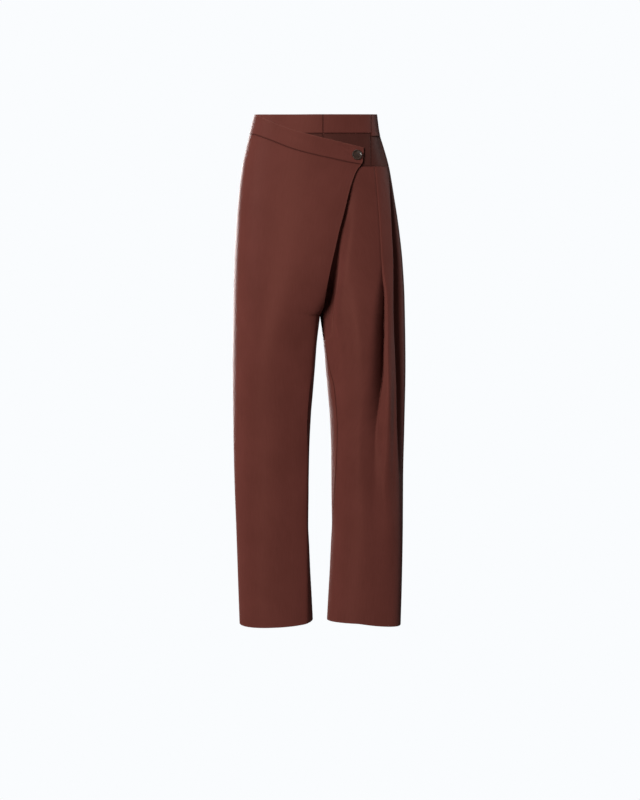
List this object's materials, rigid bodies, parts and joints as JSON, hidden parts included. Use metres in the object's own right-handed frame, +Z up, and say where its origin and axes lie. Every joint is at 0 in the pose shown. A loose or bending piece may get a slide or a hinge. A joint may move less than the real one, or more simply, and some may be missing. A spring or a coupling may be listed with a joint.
{
  "type": "wrap-front straight trousers",
  "caption": "High-waisted straight trousers with a wrap front that buttons on the left hip under a slanting band, and a pleated left front; hollow, in their worn shape.",
  "frame": {"origin": "middle of the waist opening, level with the tops of the side seams, where the wearer's waist holds the trousers up", "axes": "+Z up, -Y towards the front, +X towards the wearer's left"},
  "size_m": [0.3758, 0.231, 1.1205],
  "materials": {
    "twill": "smooth satin twill with a soft sheen",
    "horn": "dark brown horn-effect resin, polished"
  },
  "bodies": {
    "root": {"waistband_front_right": "twill", "waistband_front_left": "twill", "waistband_back": "twill", "underlap_front_right": "twill", "yoke_front_left": "twill", "yoke_side_left": "twill", "wrap_band": "twill", "front_right": "twill", "front_left": "twill", "back_right": "twill", "back_left": "twill", "button": "horn"}
  },
  "joints": []
}
